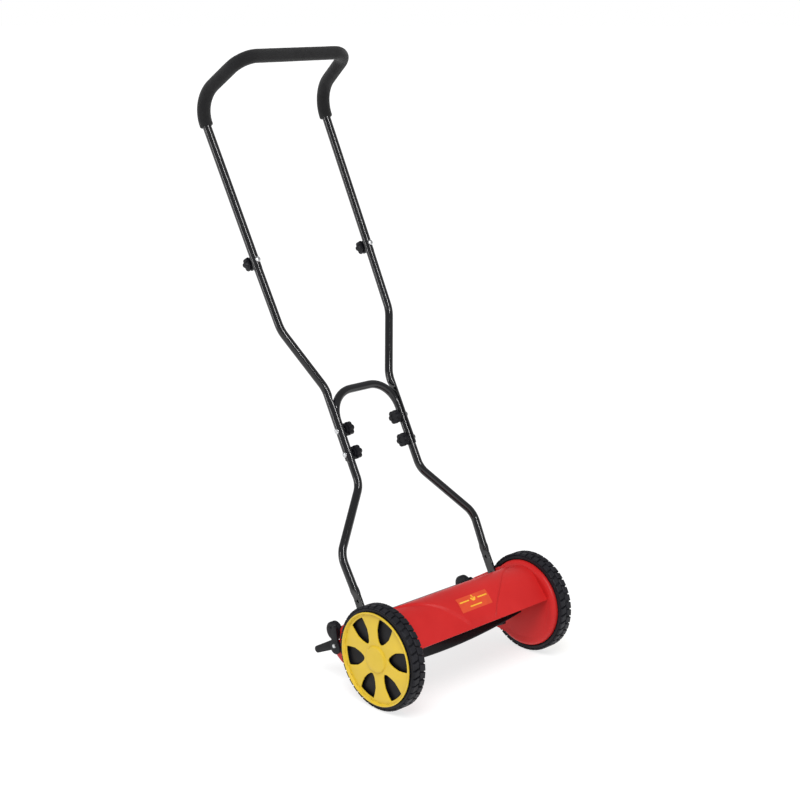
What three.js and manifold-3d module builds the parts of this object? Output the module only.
// Push reel mower: two driven wheels, a five-blade helical reel, a bed knife, two rear rollers on a
// height carriage, and a three-section tubular handle with one foam grip.
// Millimetres, +Z up, -Y is the way the mower is pushed, +X is the operator's left.
import * as THREE from 'three';
import { mergeVertices } from 'three/addons/utils/BufferGeometryUtils.js';
import Module from 'manifold-3d';

const wasm = await Module();
wasm.setup();

// ---------------------------------------------------------------- driving dimensions
const GAP = 0.4;                  // clearance between pieces that touch
const RUN = 0.45;                 // radial clearance where one piece turns on another

const WHEEL_R = 103.3;            // over the lugs, so also the axle height
const LUG_H = 5.2;
const LUG_COUNT = 30;             // in each of the two staggered rows
const LUG_TOP = 0.24;             // half a lug's width, as a share of the pitch: at its top
const LUG_FOOT = 0.33;            // and at its foot
const LUG_ROW = 0.43;             // a row's share of the tyre's width
const RIM_STAND = 14.1;           // from a side plate's inner face to the inner side of the wheel
const TYRE_LAP = 5;               // how far the tyre reaches inwards past the rim
const TYRE_W = 31.3;
const TYRE_WALL = 5.6;            // rubber under the lugs
const RIM_WALL = 4.2;
const HUB_R = 13;
const AXLE_R = 6;
const CAP_STAND = 5;              // how far the cap's lip stands out of the tyre
const CAP_DISH = 5;               // depth of the cap's face behind its lip
const CAP_LIP = 4;
const CAP_T = 2.6;
const BOSS_R = 26;
const BOSS_H = 4;
const WINDOWS = 6;
const WINDOW_IN = 33;             // radius of a window's rounded tip
const WINDOW_OUT = 83.5;
const WINDOW_PHASE = 48.6;        // degrees from +Y towards +Z, to the middle of the first window

const GEAR_MODULE = 2;
const RING_TEETH = 48;
const PINION_TEETH = 12;
const ADDENDUM = 1.5;
const DEDENDUM = 2.2;
const BACKLASH = 0.55;
const RING_BACKING = 5;           // material outside the ring gear's tooth spaces
const REEL_DROP = -1.2;           // degrees: direction of the reel axis as seen from the axle

const PLATE_IN = 185;             // inner face of each side plate
const PLATE_T = 2;
const PLATE_R = 90.3;
const PLATE_FLANGE = 12;          // how far the turned edge reaches out from the inner face
const PIVOT_Y = 150.5;            // height-adjuster pivot, from the axle
const PIVOT_Z = -27.3;

const REEL_R = 50;
const REEL_END = 13;              // from the blades' ends to each side plate
const BLADES = 5;
const BLADE_DEPTH = 22;
const BLADE_T = 2.2;
const BLADE_STEP = 34;            // about the length of each flat stretch of a blade
const BLADE_TWIST = 0.25;         // degrees for each mm along the reel
const BLADE_PHASE = 234;          // degrees, of the first blade at the middle plane
const SPIDERS = [-125, 0, 125];
const SPIDER_T = 3;
const ARM_TIP = 0.17;             // half the angle that an arm's end spans, in radians
const SHAFT_R = 6;
const JOURNAL_R = 5;

const KNIFE_ANGLE = -62;          // degrees: where the bed knife meets the reel circle
const KNIFE_GAP = 0.6;
const KNIFE_T = 2.5;
const KNIFE_W = 34;

const COVER_T = 1.5;
const COVER_FRONT = [-72, 28.7];  // lower front edge, from the axle
const COVER_SLOPE = 50;           // degrees, of the flat front panel
const COVER_FLAT = 47.2;
const COVER_R = 50;
const COVER_ARC = 115;            // degrees that the top turns through
const EMBOSS_H = 3.5;
const EMBOSS_RAMP = 7;

const ROLLER_R = 19;
const ROLLER_W = 14;
const ROLLER_Y = 164;             // roller axis, from the axle
const ROLLER_Z = -2;
const ROLLER_SHAFT_R = 4;
const BRACKET_T = 5;
const ARM_RISE = 34;              // from the pivot to the centre of the arm's round top
const PADDLE_REACH = 58;
const PADDLE_DIP = 24;            // degrees below level

const LEAN = 27.88;               // degrees that the handle's plane leans back
const PLANE_Y = -1.24;            // where that plane meets the ground
const FOOT_DROP = 103.3;          // its distances start this far below the axle
const TUBE_R = 8.6;
const TUBE_T = 1.5;
const UPPER_R = 9;                // upper section, which sleeves over the middle one
const LOW_BOLT = 129;             // distances along the handle's plane from the ground
const BOLT_STEP = 20;
const SPARE_HOLE = 206;
const STRIP_END = 118.5;
const STRIP_TOP = 222;
const STRIP_W = 21;
const STRIP_T = 5;
const FOOT_BEND = 301.3;
const FOOT_SPLAY = 2.4;           // how far outside the side plates the feet bend
const LEG_X = 85.5;               // half the spacing of the arch's straight legs
const LEG_BEND = 423.7;
const ARCH_TOP = 617.2;
const ARCH_R = 59;
const SADDLE_END = 476.5;
const SADDLE_LEN = 123.5;
const ARCH_BOLTS = { lower: 489.2, upper: 539 };
const MID_STEP = 2.4;             // the middle section's tube stands this far outside the arch's leg
const MID_BEND = 624.5;
const WIDE_BEND = [149.2, 763.2];
const JOINT = [153.2, 893.5];
const SPIGOT_LEN = 58;
const JOINT_BOLT = 20;            // above the upper section's lower end
const GRIP_BEND = [162, 1262];    // where the grip turns forward out of the plane
const GRIP_REACH = 147.6;
const GRIP_RISE = 23.7;
const BAR_X = 139.9;              // half the width at the grip bar's corners
const FOAM_END = 1204.7;
const FOAM_R = 14;
const KNOB_R = 14.5;
const KNOB_LEN = 17;
const KNOB_DIP = 2.8;             // how far the hollows between a knob's lobes lie inside them
const KNOB_NECK_R = 9.5;
const BOLT_R = 2.9;

// ---------------------------------------------------------------- worked-out places
const deg = THREE.MathUtils.degToRad;
const AXLE_Z = WHEEL_R;
const PITCH_R = GEAR_MODULE * RING_TEETH / 2;
const PINION_R = GEAR_MODULE * PINION_TEETH / 2;
const REEL_OFFSET = PITCH_R - PINION_R;
const REEL_Y = REEL_OFFSET * Math.cos(deg(REEL_DROP));
const REEL_Z = AXLE_Z + REEL_OFFSET * Math.sin(deg(REEL_DROP));
const PLATE_OUT = PLATE_IN + PLATE_T;
const RIM_IN = PLATE_IN + RIM_STAND;
const TYRE_IN = RIM_IN - TYRE_LAP;
const TYRE_OUT = TYRE_IN + TYRE_W;
const REEL_HALF = PLATE_IN - REEL_END;
const MID_X = LEG_X + MID_STEP;
const TYRE_BORE = WHEEL_R - LUG_H - TYRE_WALL;
const RIM_R = TYRE_BORE - GAP;
const LIP_X = TYRE_OUT + CAP_STAND;
const FACE_X = LIP_X - CAP_DISH;
const WEB_OUT = FACE_X - CAP_T - 4.8;
const WEB_IN = WEB_OUT - 3.5;
const GEAR_IN = RIM_IN + 1.5;
const HUB_END = FACE_X - CAP_T - 1.6;
const BRACKET_IN = PLATE_OUT + 5.2;
const BRACKET_OUT = BRACKET_IN + BRACKET_T;

const steel = { color: 0x15161a, roughness: 0.28, metalness: 0.4 };
const blackPlastic = { color: 0x1b1b1f, roughness: 0.5, metalness: 0 };
const rubber = { color: 0x202125, roughness: 0.75, metalness: 0 };
const foam = { color: 0x161616, roughness: 0.95, metalness: 0 };
const redPaint = { color: 0xc8302e, roughness: 0.35, metalness: 0.1 };
const yellow = { color: 0xf0d03a, roughness: 0.4, metalness: 0 };
const zinc = { color: 0xb9bcc0, roughness: 0.3, metalness: 0.9 };
const darkSteel = { color: 0x2b2c30, roughness: 0.4, metalness: 0.7 };

const mower = new THREE.Group();
const handle = new THREE.Group();
handle.rotation.x = -deg(LEAN);
handle.position.set(0, PLANE_Y, AXLE_Z - FOOT_DROP);
mower.add(handle);

const SIDES = { left: 1, right: -1 };

// ---------------------------------------------------------------- geometry helpers
// Keeps positions only, merges shared corners and turns the faces outwards.
function closed(geometry) {
  const bare = geometry.index ? geometry.toNonIndexed() : geometry.clone();
  bare.deleteAttribute('normal');
  bare.deleteAttribute('uv');
  const merged = mergeVertices(bare, 1e-4);
  const p = merged.attributes.position;
  const index = merged.index.array;
  const kept = [];
  let volume = 0;
  const corner = [new THREE.Vector3(), new THREE.Vector3(), new THREE.Vector3()];
  for (let i = 0; i < index.length; i += 3) {
    const [a, b, c] = [index[i], index[i + 1], index[i + 2]];
    if (a === b || b === c || c === a) continue;
    [a, b, c].forEach((v, k) => corner[k].fromBufferAttribute(p, v));
    volume += corner[0].dot(corner[1].clone().cross(corner[2]));
    kept.push(a, b, c);
  }
  if (volume < 0) {
    for (let i = 0; i < kept.length; i += 3) [kept[i + 1], kept[i + 2]] = [kept[i + 2], kept[i + 1]];
  }
  merged.setIndex(kept);
  return merged;
}

function toSolid(geometry) {
  const g = closed(geometry);
  const vertProperties = Float32Array.from(g.attributes.position.array);
  const triVerts = Uint32Array.from(g.index.array);
  return new wasm.Manifold(new wasm.Mesh({ numProp: 3, vertProperties, triVerts }));
}

function toGeometry(solid) {
  const m = solid.getMesh();
  const g = new THREE.BufferGeometry();
  g.setAttribute('position', new THREE.BufferAttribute(Float32Array.from(m.vertProperties), 3));
  g.setIndex(Array.from(m.triVerts));
  return g;
}

function join(...geometries) {
  return toGeometry(geometries.map(toSolid).reduce((a, b) => a.add(b)));
}

function cut(body, ...tools) {
  return toGeometry(tools.map(toSolid).reduce((a, b) => a.subtract(b), toSolid(body)));
}

function mirrored(geometry) {
  return closed(geometry.clone().scale(-1, 1, 1));
}

// Extrudes a shape drawn in (y, z) from x0 to x1.
const ACROSS = new THREE.Matrix4().makeBasis(
  new THREE.Vector3(0, 1, 0), new THREE.Vector3(0, 0, 1), new THREE.Vector3(1, 0, 0));
function slab(shape, x0, x1, curveSegments = 8) {
  const g = new THREE.ExtrudeGeometry(shape, { depth: x1 - x0, bevelEnabled: false, curveSegments });
  return g.applyMatrix4(ACROSS).translate(x0, 0, 0);
}

// Turns a closed (radius, x) outline about the X axis through (y, z).
const TURNED = new THREE.Matrix4().makeBasis(
  new THREE.Vector3(0, 0, 1), new THREE.Vector3(1, 0, 0), new THREE.Vector3(0, 1, 0));
function turned(outline, segments, y = 0, z = 0) {
  const points = outline.map(([r, x]) => new THREE.Vector2(r, x));
  if (outline[0][0] !== 0) points.push(points[0].clone());
  return new THREE.LatheGeometry(points, segments).applyMatrix4(TURNED).translate(0, y, z);
}

function rod(r, x0, x1, y, z, segments = 12) {
  return turned([[0, x0], [r, x0], [r, x1], [0, x1]], segments, y, z);
}

function polygon(points) {
  return new THREE.Shape(points.map(([u, v]) => new THREE.Vector2(u, v)));
}

function circlePoints(r, sides, y = 0, z = 0, phase = 0) {
  return Array.from({ length: sides }, (_, i) => {
    const a = phase + 2 * Math.PI * i / sides;
    return [y + r * Math.cos(a), z + r * Math.sin(a)];
  });
}

// A bar with round ends and its own width at each end, drawn in (y, z).
function linkShape(from, to, r0, r1) {
  const a = Math.atan2(to[1] - from[1], to[0] - from[0]);
  const points = [];
  for (let i = 0; i <= 6; i++) {
    const t = a + Math.PI / 2 + Math.PI * i / 6;
    points.push([from[0] + r0 * Math.cos(t), from[1] + r0 * Math.sin(t)]);
  }
  for (let i = 0; i <= 6; i++) {
    const t = a - Math.PI / 2 + Math.PI * i / 6;
    points.push([to[0] + r1 * Math.cos(t), to[1] + r1 * Math.sin(t)]);
  }
  return polygon(points);
}

// A path that is straight between round corners, with stations only where it bends.
class BentPath extends THREE.Curve {
  constructor(corners, radii, steps) {
    super();
    this.stations = [];
    this.tangents = [];
    const last = corners.length - 1;
    const way = (i) => corners[i + 1].clone().sub(corners[i]).normalize();
    this.add(corners[0], way(0));
    for (let i = 1; i < last; i++) {
      const [u, v] = [way(i - 1), way(i)];
      const turn = u.angleTo(v);
      const setback = radii[i - 1] * Math.tan(turn / 2);
      const start = corners[i].clone().addScaledVector(u, -setback);
      const side = v.clone().addScaledVector(u, -u.dot(v)).normalize();
      for (let k = 0; k <= steps; k++) {
        const a = turn * k / steps;
        const at = start.clone().addScaledVector(u, radii[i - 1] * Math.sin(a));
        at.addScaledVector(side, radii[i - 1] * (1 - Math.cos(a)));
        this.add(at, u.clone().multiplyScalar(Math.cos(a)).addScaledVector(side, Math.sin(a)));
      }
    }
    this.add(corners[last], way(last - 1));
  }
  add(point, tangent) {
    this.stations.push(point.clone());
    this.tangents.push(tangent);
  }
  at(list, t) {
    return list[Math.round(t * (this.stations.length - 1))].clone();
  }
  getPoint(t) { return this.at(this.stations, t); }
  getPointAt(t) { return this.at(this.stations, t); }
  getTangent(t) { return this.at(this.tangents, t); }
  getTangentAt(t) { return this.at(this.tangents, t); }
}

// A round tube, or a solid bar when bore is 0, along a bent path.
function tube(corners, radii, r, bore, sides = 8, steps = 3) {
  const path = new BentPath(corners.map((c) => new THREE.Vector3(...c)), radii, steps);
  const shape = polygon(circlePoints(r, sides));
  if (bore > 0) shape.holes.push(new THREE.Path(polygon(circlePoints(bore, sides)).getPoints()));
  return new THREE.ExtrudeGeometry(shape, {
    steps: path.stations.length - 1, bevelEnabled: false, extrudePath: path });
}

// A solid skinned over rings of equally many points.
function loft(rings) {
  const n = rings[0].length;
  const positions = rings.flat(2);
  const index = [];
  for (let j = 0; j + 1 < rings.length; j++) {
    for (let i = 0; i < n; i++) {
      const [a, b] = [j * n + i, j * n + (i + 1) % n];
      index.push(a, b, b + n, a, b + n, a + n);
    }
  }
  const end = (rings.length - 1) * n;
  for (let i = 1; i + 1 < n; i++) {
    index.push(0, i + 1, i, end, end + i, end + i + 1);
  }
  const g = new THREE.BufferGeometry();
  g.setAttribute('position', new THREE.Float32BufferAttribute(positions, 3));
  g.setIndex(index);
  return g;
}

function put(name, geometry, look, parent = mower) {
  const material = new THREE.MeshStandardMaterial(look);
  const mesh = new THREE.Mesh(closed(geometry), material);
  mesh.name = name;
  parent.add(mesh);
  return mesh;
}

// Adds the same piece on both sides of the middle plane.
function putPair(stem, geometry, look, parent = mower) {
  put(`${stem}_left`, geometry, look, parent);
  put(`${stem}_right`, mirrored(geometry), look, parent);
}

// ---------------------------------------------------------------- gear outlines
function involuteAngle(r, base) {
  const k = Math.sqrt(Math.max((r / base) ** 2 - 1, 0));
  return k - Math.atan(k);
}

// Closed outline of a gear; the tooth that points along `phase` is centred there.
function gearOutline(teeth, root, tip, thin, phase) {
  const pitch = GEAR_MODULE * teeth / 2;
  const base = pitch * Math.cos(deg(20));
  const half = Math.PI / (2 * teeth) - thin / (2 * pitch);
  const width = (r) => half + involuteAngle(pitch, base) - involuteAngle(Math.max(r, base), base);
  const points = [];
  for (let i = 0; i < teeth; i++) {
    const mid = phase + 2 * Math.PI * i / teeth;
    [[root, -1], [tip, -1], [tip, 1], [root, 1]].forEach(([r, side]) => {
      const a = mid + side * width(r);
      points.push([r * Math.cos(a), r * Math.sin(a)]);
    });
  }
  return points;
}

// ---------------------------------------------------------------- wheels
// One row of lugs. Their outer corners stand proud, so that each flat face is WHEEL_R from the axle.
function tyreRow(x0, x1, phase) {
  const pitch = 2 * Math.PI / LUG_COUNT;
  const root = WHEEL_R - LUG_H;
  const top = WHEEL_R / Math.cos(LUG_TOP * pitch);
  const points = [];
  for (let i = 0; i < LUG_COUNT; i++) {
    const mid = phase + i * pitch;
    [[root, -LUG_FOOT], [top, -LUG_TOP], [top, LUG_TOP], [root, LUG_FOOT]].forEach(([r, share]) => {
      points.push([r * Math.cos(mid + share * pitch), r * Math.sin(mid + share * pitch)]);
    });
  }
  return slab(polygon(points), x0, x1);
}

function wheelPieces() {
  const pitch = 2 * Math.PI / LUG_COUNT;
  const down = -Math.PI / 2;
  const rowW = TYRE_W * LUG_ROW;
  const inner = tyreRow(TYRE_IN, TYRE_IN + rowW, down + pitch / 2);
  const outer = tyreRow(TYRE_OUT - rowW, TYRE_OUT, down);
  const bandR = WHEEL_R - LUG_H - 0.3;
  const band = slab(polygon(circlePoints(bandR, LUG_COUNT, 0, 0, down)), TYRE_IN, TYRE_OUT);
  const boreR = TYRE_BORE / Math.cos(Math.PI / LUG_COUNT);
  const bore = slab(polygon(circlePoints(boreR, LUG_COUNT, 0, 0, down)), TYRE_IN - 1, TYRE_OUT + 1);
  const tyre = cut(join(inner, outer, band), bore);

  const rimIn = RIM_R - RIM_WALL;
  const gearOut = PITCH_R + DEDENDUM + RING_BACKING;
  const coreBody = turned([
    [AXLE_R + RUN, RIM_IN + 0.9], [HUB_R, RIM_IN + 0.9], [HUB_R, WEB_IN], [rimIn, WEB_IN],
    [rimIn, RIM_IN + 0.9], [RIM_R, RIM_IN + 0.9], [RIM_R, TYRE_OUT + 1.2], [rimIn, TYRE_OUT + 1.2],
    [rimIn, WEB_OUT], [HUB_R, WEB_OUT], [HUB_R, HUB_END], [AXLE_R + RUN, HUB_END],
  ], 24);
  const spaces = gearOutline(RING_TEETH, PITCH_R - ADDENDUM, PITCH_R + DEDENDUM, 0, deg(REEL_DROP));
  const ringShape = polygon(circlePoints(gearOut, 24));
  ringShape.holes.push(new THREE.Path(spaces.map(([u, v]) => new THREE.Vector2(u, v))));
  const core = join(coreBody, slab(ringShape, GEAR_IN, WEB_IN + 0.5));

  return { tyre, core, cap: hubCap() };
}

// One leaf-shaped window: an arc outside, bowed flanks and a round tip towards the hub.
function windowShape(angle) {
  const [c, s] = [Math.cos(angle), Math.sin(angle)];
  const out = (u, v) => [u * c - v * s, u * s + v * c];
  const half = deg(13);
  const flank = [
    [WINDOW_OUT - 12.5, 18.6], [WINDOW_OUT - 26.5, 17], [WINDOW_IN + 12, 11.5], [WINDOW_IN + 3.5, 5.6],
  ];
  const points = [];
  for (let i = 0; i <= 4; i++) {
    const a = -half + 2 * half * i / 4;
    points.push([WINDOW_OUT * Math.cos(a), WINDOW_OUT * Math.sin(a)]);
  }
  flank.forEach((p) => points.push(p));
  points.push([WINDOW_IN, 0]);
  flank.slice().reverse().forEach(([u, v]) => points.push([u, -v]));
  return polygon(points.map(([u, v]) => out(u, v)));
}

function hubCap() {
  const lipR = TYRE_BORE + 0.05;
  const inside = FACE_X - CAP_T;
  const skirtOut = RIM_R - RIM_WALL - 0.7;
  const disc = turned([
    [0, inside + BOSS_H], [BOSS_R - 4, inside + BOSS_H], [BOSS_R - 3, inside], [skirtOut - 2.2, inside],
    [skirtOut - 2.2, inside - 3.5], [skirtOut, inside - 3.5], [skirtOut, FACE_X + 2],
    [lipR, FACE_X + 2], [lipR, LIP_X], [lipR - CAP_LIP + 1, LIP_X], [lipR - CAP_LIP - 1, FACE_X],
    [BOSS_R + 1, FACE_X], [BOSS_R - 1, FACE_X + BOSS_H - 0.8], [BOSS_R - 4, FACE_X + BOSS_H],
    [0, FACE_X + BOSS_H],
  ], 24);
  const windows = Array.from({ length: WINDOWS }, (_, i) => {
    const angle = deg(WINDOW_PHASE) + 2 * Math.PI * i / WINDOWS;
    return slab(windowShape(angle), inside - 1, FACE_X + 1);
  });
  return cut(disc, ...windows);
}

// A shoulder bolt: riveted inside the side plate, with a head that keeps the wheel on.
function stubAxle() {
  const inner = PLATE_IN - GAP;
  return turned([
    [0, inner - 3], [9, inner - 3], [9, inner], [AXLE_R, inner], [AXLE_R, HUB_END + GAP],
    [9.5, HUB_END + GAP], [9.5, HUB_END + 3.6], [0, HUB_END + 3.6],
  ], 12, 0, AXLE_Z);
}

// ---------------------------------------------------------------- chassis
const pivot = [PIVOT_Y, AXLE_Z + PIVOT_Z];
const tieRod = [112, AXLE_Z - 14];
const along = (w) => [
  w * Math.sin(deg(LEAN)) + PLANE_Y,
  w * Math.cos(deg(LEAN)) + AXLE_Z - FOOT_DROP,
];
const sideBolts = { lower: LOW_BOLT, upper: LOW_BOLT + BOLT_STEP };

function knifeFrame() {
  const a = deg(KNIFE_ANGLE);
  const out = [Math.cos(a), Math.sin(a)];
  const back = [-out[1], out[0]];
  const edge = [REEL_Y + (REEL_R + KNIFE_GAP) * out[0], REEL_Z + (REEL_R + KNIFE_GAP) * out[1]];
  return (t, u) => [edge[0] + t * back[0] + u * out[0], edge[1] + t * back[1] + u * out[1]];
}
const knifeAt = knifeFrame();
const knifePivot = knifeAt(KNIFE_W - 4, KNIFE_T + 6);

function sidePlate() {
  const r = PLATE_R;
  const x = PLATE_IN;
  const t = PLATE_T;
  const f = PLATE_IN + PLATE_FLANGE;
  const dish = turned([
    [0, x], [r - 10.3, x], [r - 5.8, x + 1.3], [r - 1.7, x + 4.6], [r, x + 9], [r, f], [r - t, f],
    [r - t, x + 9.6], [r - 3.5, x + 6], [r - 6.9, x + 3.2], [r - 10.8, x + t], [0, x + t],
  ], 28, 0, AXLE_Z);
  const z = AXLE_Z;
  const nearPivot = (y, up) => [pivot[0] + y, pivot[1] + up];
  const lobe = slab(polygon([
    [10, z - r + 12], nearPivot(-11, -34.5), nearPivot(6.5, -23), nearPivot(10, -14), nearPivot(9.5, 0),
    nearPivot(7, 6), nearPivot(-3.5, 11), nearPivot(-5.5, 19), nearPivot(-6, 35), nearPivot(-15, 47),
    [60, z + r - 26], [30, z + r - 16], [0, z],
  ]), x, x + t);
  const hole = (radius, [y, zz], sides = 12) => rod(radius, x - 1, x + t + 1, y, zz, sides);
  const tools = [
    hole(AXLE_R + GAP, [0, AXLE_Z]), hole(10.1, [REEL_Y, REEL_Z], 16), hole(3.5, tieRod, 8),
    hole(3.5, knifePivot, 8), hole(3.8, pivot, 10),
  ];
  Object.values(sideBolts).forEach((w) => tools.push(hole(BOLT_R + GAP, along(w), 8)));
  return cut(join(dish, lobe), ...tools);
}

// The shield over the reel: a flat front panel running into a round top, with a raised bell panel.
function cover() {
  const slope = deg(COVER_SLOPE);
  const [fy, fz] = [COVER_FRONT[0], AXLE_Z + COVER_FRONT[1]];
  const ahead = [Math.cos(slope), Math.sin(slope)];
  const normal = [-Math.sin(slope), Math.cos(slope)];
  const onPanel = (s, depth) => [
    fy + s * ahead[0] - depth * normal[0],
    fz + s * ahead[1] - depth * normal[1],
  ];
  const bend = onPanel(COVER_FLAT, COVER_R);
  const rows = [0, 0.12, 0.55, 1].map((k) => (
    { s: k * COVER_FLAT, at: onPanel(k * COVER_FLAT, 0), n: normal }));
  const steps = 8;
  for (let i = 1; i <= steps; i++) {
    const a = slope + Math.PI / 2 - deg(COVER_ARC) * i / steps;
    const n = [Math.cos(a), Math.sin(a)];
    rows.push({ s: COVER_FLAT + COVER_R * deg(COVER_ARC) * i / steps,
      at: [bend[0] + COVER_R * n[0], bend[1] + COVER_R * n[1]], n });
  }
  const end = PLATE_IN - GAP;
  const half = (s) => Math.min(27 + 0.6 * s + 0.0048 * s * s, end - 3 * EMBOSS_RAMP);
  const rings = [];
  const columns = (s) => [[-end, 0], [-half(s) - EMBOSS_RAMP, 0], [-half(s), 1], [0, 1],
    [half(s), 1], [half(s) + EMBOSS_RAMP, 0], [end, 0]];
  const lift = (s) => EMBOSS_H * Math.min(s / 14, 1);
  rows.forEach(({ s, at, n }) => {
    const outer = columns(s).map(([x, up]) => {
      const h = up * lift(s);
      return [x, at[0] + h * n[0], at[1] + h * n[1]];
    });
    const inner = columns(s).map(([x, up]) => {
      const h = up * lift(s) - COVER_T;
      return [x, at[0] + h * n[0], at[1] + h * n[1]];
    });
    rings.push([...outer, ...inner.reverse()]);
  });
  return sheet(rings);
}

// A solid skinned over rings whose first half is the outer face and second half the inner one.
function sheet(rings) {
  const n = rings[0].length;
  const half = n / 2;
  const g = loft(rings);
  const index = Array.from(g.index.array).slice(0, (rings.length - 1) * n * 6);
  const end = (rings.length - 1) * n;
  for (let i = 0; i + 1 < half; i++) {
    const [a, b, c, d] = [i, i + 1, n - 2 - i, n - 1 - i];
    index.push(a, c, b, a, d, c);
    index.push(end + a, end + b, end + c, end + a, end + c, end + d);
  }
  g.setIndex(index);
  return g;
}

function throughBolt(r, x0, x1, headR, headT, nutT, y, z) {
  return turned([
    [0, x0], [headR, x0], [headR, x0 + nutT], [r, x0 + nutT], [r, x1 - headT],
    [headR, x1 - headT], [headR * 0.8, x1], [0, x1],
  ], 8, y, z);
}

function tieRodPiece() {
  const end = PLATE_IN - GAP;
  const out = PLATE_OUT + 4;
  return turned([[0, -out], [3, -out], [3, -end], [5, -end], [5, end], [3, end], [3, out], [0, out]],
    12, ...tieRod);
}

// ---------------------------------------------------------------- reel and bed knife
function blade(number) {
  const steps = Math.round(2 * REEL_HALF / BLADE_STEP);
  const start = deg(BLADE_PHASE) + 2 * Math.PI * number / BLADES;
  const rings = [];
  for (let i = 0; i <= steps; i++) {
    const x = -REEL_HALF + 2 * REEL_HALF * i / steps;
    const a = start - deg(BLADE_TWIST) * x;
    const [c, s] = [Math.cos(a), Math.sin(a)];
    const at = (r, off) => [x, REEL_Y + r * c - off * s, REEL_Z + r * s + off * c];
    const r0 = REEL_R - BLADE_DEPTH;
    const t = BLADE_T / 2;
    rings.push([at(r0, -t), at(REEL_R, -t), at(REEL_R, t), at(r0, t)]);
  }
  return loft(rings);
}

// A five-armed disc whose arms reach the blades' inner edges at its place along the reel.
function spider(x) {
  const hub = SHAFT_R + 6.5;
  const reach = REEL_R - BLADE_DEPTH - GAP - 0.3;
  const points = [];
  for (let i = 0; i < BLADES; i++) {
    const a = deg(BLADE_PHASE) + 2 * Math.PI * i / BLADES - deg(BLADE_TWIST) * x;
    [[hub, -0.42], [reach, -ARM_TIP], [reach, ARM_TIP], [hub, 0.42]].forEach(([r, da]) => {
      points.push([r * Math.cos(a + da), r * Math.sin(a + da)]);
    });
  }
  const plate = slab(polygon(points), x - SPIDER_T / 2, x + SPIDER_T / 2);
  const bore = rod(SHAFT_R + GAP, x - SPIDER_T, x + SPIDER_T, 0, 0, 16);
  return cut(plate, bore).translate(0, REEL_Y, REEL_Z);
}

const PINION_IN = GEAR_IN + 0.3;
const PINION_OUT = WEB_IN - 1.2;
const PAWL_X = PINION_IN + 3.4;
const PAWL_W = 5;

function reelShaft() {
  const step = PLATE_IN - 3.9;
  const end = PINION_OUT + 0.6;
  const shaft = turned([
    [0, -end], [JOURNAL_R, -end], [JOURNAL_R, -step], [SHAFT_R, -step],
    [SHAFT_R, step], [JOURNAL_R, step], [JOURNAL_R, end], [0, end],
  ], 16, REEL_Y, REEL_Z);
  const slots = Object.values(SIDES).map((side) => {
    const slot = new THREE.BoxGeometry(PAWL_W + 2 * GAP, 3.8, 30);
    return slot.translate(side * PAWL_X, REEL_Y, REEL_Z);
  });
  return cut(shaft, ...slots);
}

function pinion() {
  const root = PINION_R - DEDENDUM;
  const outline = gearOutline(PINION_TEETH, root, PINION_R + ADDENDUM, BACKLASH, deg(REEL_DROP));
  const body = slab(polygon(outline), PINION_IN, PINION_OUT);
  const bore = rod(JOURNAL_R + RUN, PINION_IN - 1, PINION_OUT + 1, 0, 0, 16);
  const chamber = rod(root - 1.5, PINION_IN - 1, PAWL_X + PAWL_W / 2 + 0.8, 0, 0, 16);
  return cut(body, bore, chamber).translate(0, REEL_Y, REEL_Z);
}

function pawl() {
  return new THREE.BoxGeometry(PAWL_W, 3, 12.8).translate(PAWL_X, REEL_Y, REEL_Z);
}

function bearingBush() {
  const inner = PLATE_IN - GAP;
  return turned([[JOURNAL_R + RUN, inner - 3], [12.5, inner - 3], [12.5, inner], [9.6, inner],
    [9.6, PLATE_OUT + 3], [JOURNAL_R + RUN, PLATE_OUT + 3]], 16, REEL_Y, REEL_Z);
}

function knifeBar() {
  const end = PLATE_IN - GAP - 0.4;
  const u0 = KNIFE_T + GAP;
  const bar = slab(polygon([
    knifeAt(5, u0), knifeAt(KNIFE_W + 3, u0), knifeAt(KNIFE_W + 3, u0 + 9), knifeAt(KNIFE_W - 12, u0 + 9),
    knifeAt(KNIFE_W - 14, u0 + 3), knifeAt(5, u0 + 3),
  ]), -end, end);
  const sockets = Object.values(SIDES).map((side) => {
    const ends = [side * (end - 14), side * (end + 1)];
    return rod(3.5, Math.min(...ends), Math.max(...ends), ...knifePivot, 12);
  });
  return cut(bar, ...sockets);
}

function knifeScrew() {
  const [tip, seat] = [PLATE_IN - 13, PLATE_OUT + GAP];
  return turned([[0, tip], [3, tip], [3, seat], [5.6, seat], [4.8, seat + 4], [0, seat + 4]],
    8, ...knifePivot);
}

function bedKnife() {
  const end = PLATE_IN - GAP - 0.4;
  return slab(polygon([
    knifeAt(-2, 1.1), knifeAt(0, 0), knifeAt(KNIFE_W, 0), knifeAt(KNIFE_W, KNIFE_T), knifeAt(-2, KNIFE_T),
  ]), -end, end);
}

// ---------------------------------------------------------------- height carriage
const rollerAt = [ROLLER_Y, AXLE_Z + ROLLER_Z];

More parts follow.
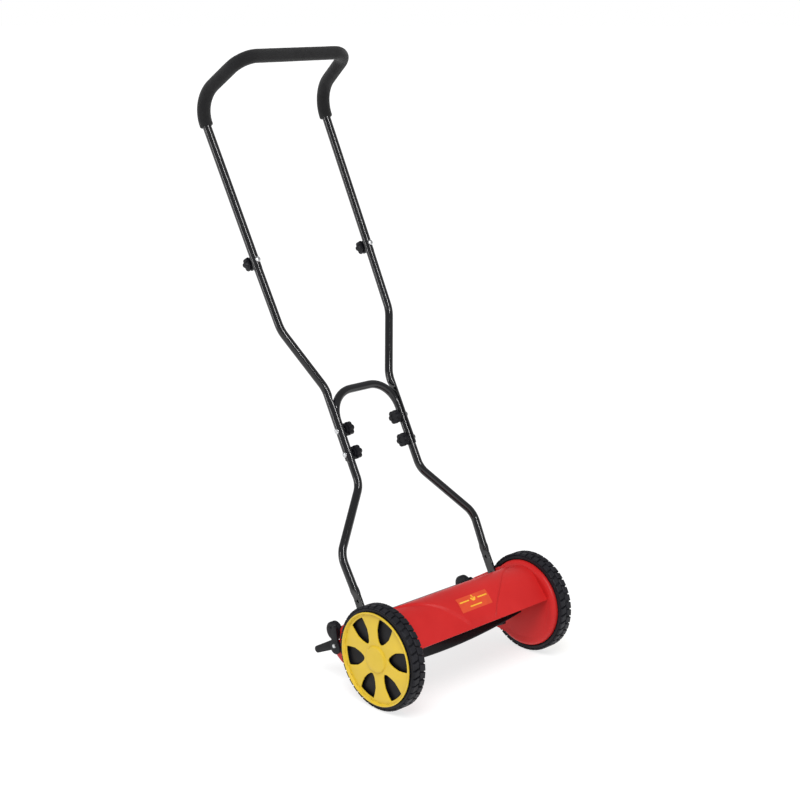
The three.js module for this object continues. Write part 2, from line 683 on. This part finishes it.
function bracket() {
  const [py, pz] = pivot;
  const top = [py + 2, pz + ARM_RISE];
  const dip = deg(PADDLE_DIP);
  const tip = [py + PADDLE_REACH * Math.cos(dip), pz - PADDLE_REACH * Math.sin(dip)];
  const arm = slab(linkShape([py, pz], top, 10.5, 7), BRACKET_IN, BRACKET_OUT);
  const paddle = slab(linkShape([py + 1.5, pz + 3], tip, 10, 7.2), BRACKET_IN, BRACKET_OUT);
  const ear = rod(8.5, BRACKET_IN, BRACKET_OUT, ...rollerAt, 16);
  const pad = rod(14, BRACKET_IN, BRACKET_OUT, py - 1.5, pz - 3, 20);
  const spacer = rod(8.8, PLATE_OUT + GAP, BRACKET_IN + 1, py, pz, 16);
  return cut(join(arm, paddle, ear, pad, spacer),
    rod(3.4 + RUN, PLATE_OUT - 1, BRACKET_OUT + 1, py, pz, 12),
    rod(ROLLER_SHAFT_R + GAP, BRACKET_IN - 1, BRACKET_OUT + 1, ...rollerAt, 16));
}

function rollerShaft() {
  const end = BRACKET_OUT - 0.5;
  return rod(ROLLER_SHAFT_R, -end, end, ...rollerAt, 16);
}

function roller() {
  const x1 = BRACKET_IN - 0.8;
  const x0 = x1 - ROLLER_W;
  const bore = ROLLER_SHAFT_R + RUN;
  return turned([[bore, x0], [ROLLER_R - 1.2, x0], [ROLLER_R, x0 + 1.2], [ROLLER_R, x1 - 1.2],
    [ROLLER_R - 1.2, x1], [bore, x1]], 20, ...rollerAt);
}

// ---------------------------------------------------------------- handle
function archTube() {
  const strip = PLATE_IN - GAP - STRIP_T / 2;
  const foot = [PLATE_IN + FOOT_SPLAY, 0, FOOT_BEND];
  const knee = [LEG_X, 0, LEG_BEND];
  const top = [LEG_X, 0, ARCH_TOP];
  const half = [[strip + 1.4, 0, STRIP_TOP + 8], foot, knee, top];
  const other = half.map(([x, d, w]) => [-x, d, w]).reverse();
  const body = tube([...half, ...other], [50, 45, ARCH_R, ARCH_R, 45, 50], TUBE_R, TUBE_R - TUBE_T);
  const ends = Object.values(SIDES).map((side) => flatEnd(side, strip));
  const holes = [];
  Object.values(SIDES).forEach((side) => {
    Object.values(ARCH_BOLTS).forEach((w) => {
      const near = side * (LEG_X - TUBE_R - 3);
      const far = side * (LEG_X + TUBE_R + 3);
      holes.push(rod(BOLT_R + GAP, Math.min(near, far), Math.max(near, far), 0, w, 8));
    });
    [...Object.values(sideBolts), SPARE_HOLE].forEach((w) => {
      const from = side * strip - 6;
      holes.push(rod(BOLT_R + GAP, from, from + 12, 0, w, 8));
    });
  });
  return cut(join(body, ...ends), ...holes);
}

// The tube's foot pressed flat: a strip with a round end that widens out of the round tube.
function flatEnd(side, strip) {
  const sides = 10;
  const ring = (x, a, b, w) => circlePoints(1, sides).map(([u, v]) => [side * x + a * u, b * v, w]);
  const flare = loft([
    ring(strip, STRIP_T / 2, STRIP_W / 2 - 0.2, STRIP_TOP - 22),
    ring(strip, STRIP_T / 2 + 0.8, STRIP_W / 2 - 0.2, STRIP_TOP - 10),
    ring(strip + 0.9, TUBE_R - 1.6, TUBE_R + 0.9, STRIP_TOP + 2),
    ring(strip + 1.4, TUBE_R - 0.1, TUBE_R - 0.1, STRIP_TOP + 12),
  ]);
  const r = STRIP_W / 2;
  const shape = new THREE.Shape();
  shape.moveTo(r, STRIP_TOP - 14);
  shape.lineTo(-r, STRIP_TOP - 14);
  shape.lineTo(-r, STRIP_END + r);
  shape.absarc(0, STRIP_END + r, r, Math.PI, 2 * Math.PI, false);
  return join(flare, slab(shape, side * strip - STRIP_T / 2, side * strip + STRIP_T / 2, 5));
}

// The middle section: a half-round saddle that hugs the arch's leg, then a tube that widens out.
function midTube() {
  const saddleTop = SADDLE_END + SADDLE_LEN;
  const inner = TUBE_R + GAP;
  const outer = inner + TUBE_T;
  const sides = 10;
  const arc = (r) => Array.from({ length: sides + 1 }, (_, i) => {
    const a = -Math.PI / 2 + Math.PI * i / sides;
    return [LEG_X + r * Math.cos(a), r * Math.sin(a)];
  });
  const crescent = polygon([...arc(outer), ...arc(inner).reverse()]);
  const saddle = new THREE.ExtrudeGeometry(crescent, { depth: SADDLE_LEN + 3, bevelEnabled: false })
    .translate(0, 0, SADDLE_END);
  const shoulder = JOINT[1] - GAP;
  const slope = (WIDE_BEND[0] - JOINT[0]) / (WIDE_BEND[1] - JOINT[1]);
  const xAt = (w) => JOINT[0] + slope * (w - JOINT[1]);
  const body = tube([[MID_X, 0, saddleTop], [MID_X, 0, MID_BEND], [WIDE_BEND[0], 0, WIDE_BEND[1]],
    [xAt(shoulder), 0, shoulder]], [60, 70], TUBE_R, TUBE_R - TUBE_T);
  const neck = TUBE_R - TUBE_T;
  const spigotR = UPPER_R - TUBE_T - GAP;
  const collar = tube([[xAt(shoulder - 4), 0, shoulder - 4], [xAt(shoulder), 0, shoulder]], [],
    TUBE_R, spigotR - TUBE_T);
  const spigot = tube([[xAt(shoulder - 4), 0, shoulder - 4],
    [xAt(shoulder + SPIGOT_LEN), 0, shoulder + SPIGOT_LEN]], [], spigotR, spigotR - TUBE_T);
  const plug = tube([[MID_X, 0, saddleTop - 0.5], [MID_X, 0, saddleTop + 3]], [], neck + 0.3, 0);
  const holes = Object.values(ARCH_BOLTS).map((w) => rod(BOLT_R + GAP, LEG_X, LEG_X + 20, 0, w, 8));
  const boltAt = jointBoltAt();
  holes.push(crossHole(boltAt));
  return cut(join(saddle, body, collar, spigot, plug), ...holes);
}

function jointBoltAt() {
  const w = JOINT[1] + JOINT_BOLT;
  const slope = (GRIP_BEND[0] - JOINT[0]) / (GRIP_BEND[1] - JOINT[1]);
  return [JOINT[0] + slope * JOINT_BOLT, w];
}

// A drill straight through the handle's plane.
function crossHole([x, w]) {
  return new THREE.CylinderGeometry(BOLT_R + GAP, BOLT_R + GAP, 60, 8).translate(x, 0, w);
}

const gripCorners = (start) => {
  const half = [start, [GRIP_BEND[0], 0, GRIP_BEND[1]],
    [BAR_X, -GRIP_REACH, GRIP_BEND[1] + GRIP_RISE]];
  return [...half, ...half.map(([x, d, w]) => [-x, d, w]).reverse()];
};
const GRIP_RADII = [62.7, 43.7, 43.7, 62.7];

function upperTube() {
  const body = tube(gripCorners([JOINT[0], 0, JOINT[1]]), GRIP_RADII, UPPER_R, UPPER_R - TUBE_T, 8, 4);
  const at = jointBoltAt();
  return cut(body, crossHole(at), crossHole([-at[0], at[1]]));
}

function foamGrip() {
  const slope = (GRIP_BEND[0] - JOINT[0]) / (GRIP_BEND[1] - JOINT[1]);
  const start = [JOINT[0] + slope * (FOAM_END - JOINT[1]), 0, FOAM_END];
  return tube(gripCorners(start), GRIP_RADII, FOAM_R, UPPER_R + GAP + 0.4, 8, 4);
}

// Domed head, shank and free end, along X from the head at x1 inwards to x0.
function handleBolt(x0, x1, headT) {
  return turned([
    [0, x0], [BOLT_R, x0], [BOLT_R, x1], [6, x1], [4.6, x1 + headT * 0.7], [0, x1 + headT],
  ], 8);
}

// A six-lobed knob with its own bore, along X from x0 to x1.
function knob(x0, x1) {
  const lobes = 6;
  const points = Array.from({ length: lobes * 3 }, (_, i) => {
    const r = KNOB_R - [0, 0, KNOB_DIP][i % 3];
    const a = 2 * Math.PI * i / (lobes * 3);
    return [r * Math.cos(a), r * Math.sin(a)];
  });
  const body = slab(polygon(points), x0, x1 - 4);
  const neck = rod(KNOB_NECK_R, x1 - 4.5, x1, 0, 0, 8);
  return cut(join(body, neck), rod(BOLT_R + RUN, x0 + 3, x1 + 1, 0, 0, 8));
}

// ---------------------------------------------------------------- assembly
const { tyre, core, cap } = wheelPieces();
const atAxle = (g) => g.clone().translate(0, 0, AXLE_Z);
putPair('wheel_tyre', atAxle(tyre), rubber);
putPair('wheel_core', atAxle(core), blackPlastic);
putPair('hub_cap', atAxle(cap), yellow);
putPair('stub_axle', stubAxle(), zinc);

putPair('side_plate', sidePlate(), redPaint);
put('reel_cover', cover(), redPaint);
put('rear_tie_rod', tieRodPiece(), darkSteel);
putPair('reel_bearing', bearingBush(), darkSteel);

put('reel_shaft', reelShaft(), darkSteel);
SPIDERS.forEach((x, i) => put(`reel_spider_${i + 1}`, spider(x), darkSteel));
for (let i = 0; i < BLADES; i++) put(`reel_blade_${i + 1}`, blade(i), darkSteel);
putPair('drive_pinion', pinion(), zinc);
putPair('drive_pawl', pawl(), zinc);
put('bed_knife_bar', knifeBar(), darkSteel);
put('bed_knife', bedKnife(), zinc);
putPair('knife_screw', knifeScrew(), zinc);

putPair('height_bracket', bracket(), blackPlastic);
put('roller_shaft', rollerShaft(), darkSteel);
putPair('rear_roller', roller(), blackPlastic);
putPair('bracket_bolt',
  throughBolt(3.4, PLATE_IN - GAP - 4, BRACKET_OUT + GAP + 2.2, 4.8, 2.2, 4, ...pivot), zinc);

put('lower_handle', archTube(), steel, handle);
putPair('middle_handle', midTube(), steel, handle);
put('upper_handle', upperTube(), steel, handle);
put('foam_grip', foamGrip(), foam, handle);

Object.entries(sideBolts).forEach(([place, w]) => {
  const [x0, x1] = [PLATE_IN - GAP - STRIP_T - GAP - 4, PLATE_OUT + GAP + 3];
  putPair(`side_bolt_${place}`, throughBolt(BOLT_R, x0, x1, 5.4, 3, 4, 0, w), zinc, handle);
});
Object.entries(ARCH_BOLTS).forEach(([place, w]) => {
  const x1 = LEG_X + TUBE_R + TUBE_T + 2 * GAP;
  const inner = LEG_X - TUBE_R - GAP;
  const bolt = handleBolt(inner - KNOB_LEN + 4.2, x1, 3.2).translate(0, 0, w);
  const grip = knob(inner - KNOB_LEN, inner).translate(0, 0, w);
  putPair(`arch_bolt_${place}`, bolt, zinc, handle);
  putPair(`arch_knob_${place}`, grip, blackPlastic, handle);
});

const QUARTER = new THREE.Matrix4().makeRotationZ(-Math.PI / 2);
const boltPlace = jointBoltAt();
const acrossPlane = (g) => g.clone().applyMatrix4(QUARTER).translate(boltPlace[0], 0, boltPlace[1]);
putPair('joint_bolt', acrossPlane(handleBolt(-UPPER_R - KNOB_LEN + 3.8, UPPER_R + GAP, 3.2)), zinc, handle);
putPair('joint_knob', acrossPlane(knob(-UPPER_R - GAP - KNOB_LEN, -UPPER_R - GAP)), blackPlastic, handle);

// The origin is on the ground, in the middle of the object's length and width.
mower.updateMatrixWorld(true);
const extent = new THREE.Box3().setFromObject(mower, true);
mower.position.y = -(extent.min.y + extent.max.y) / 2;

export default mower;
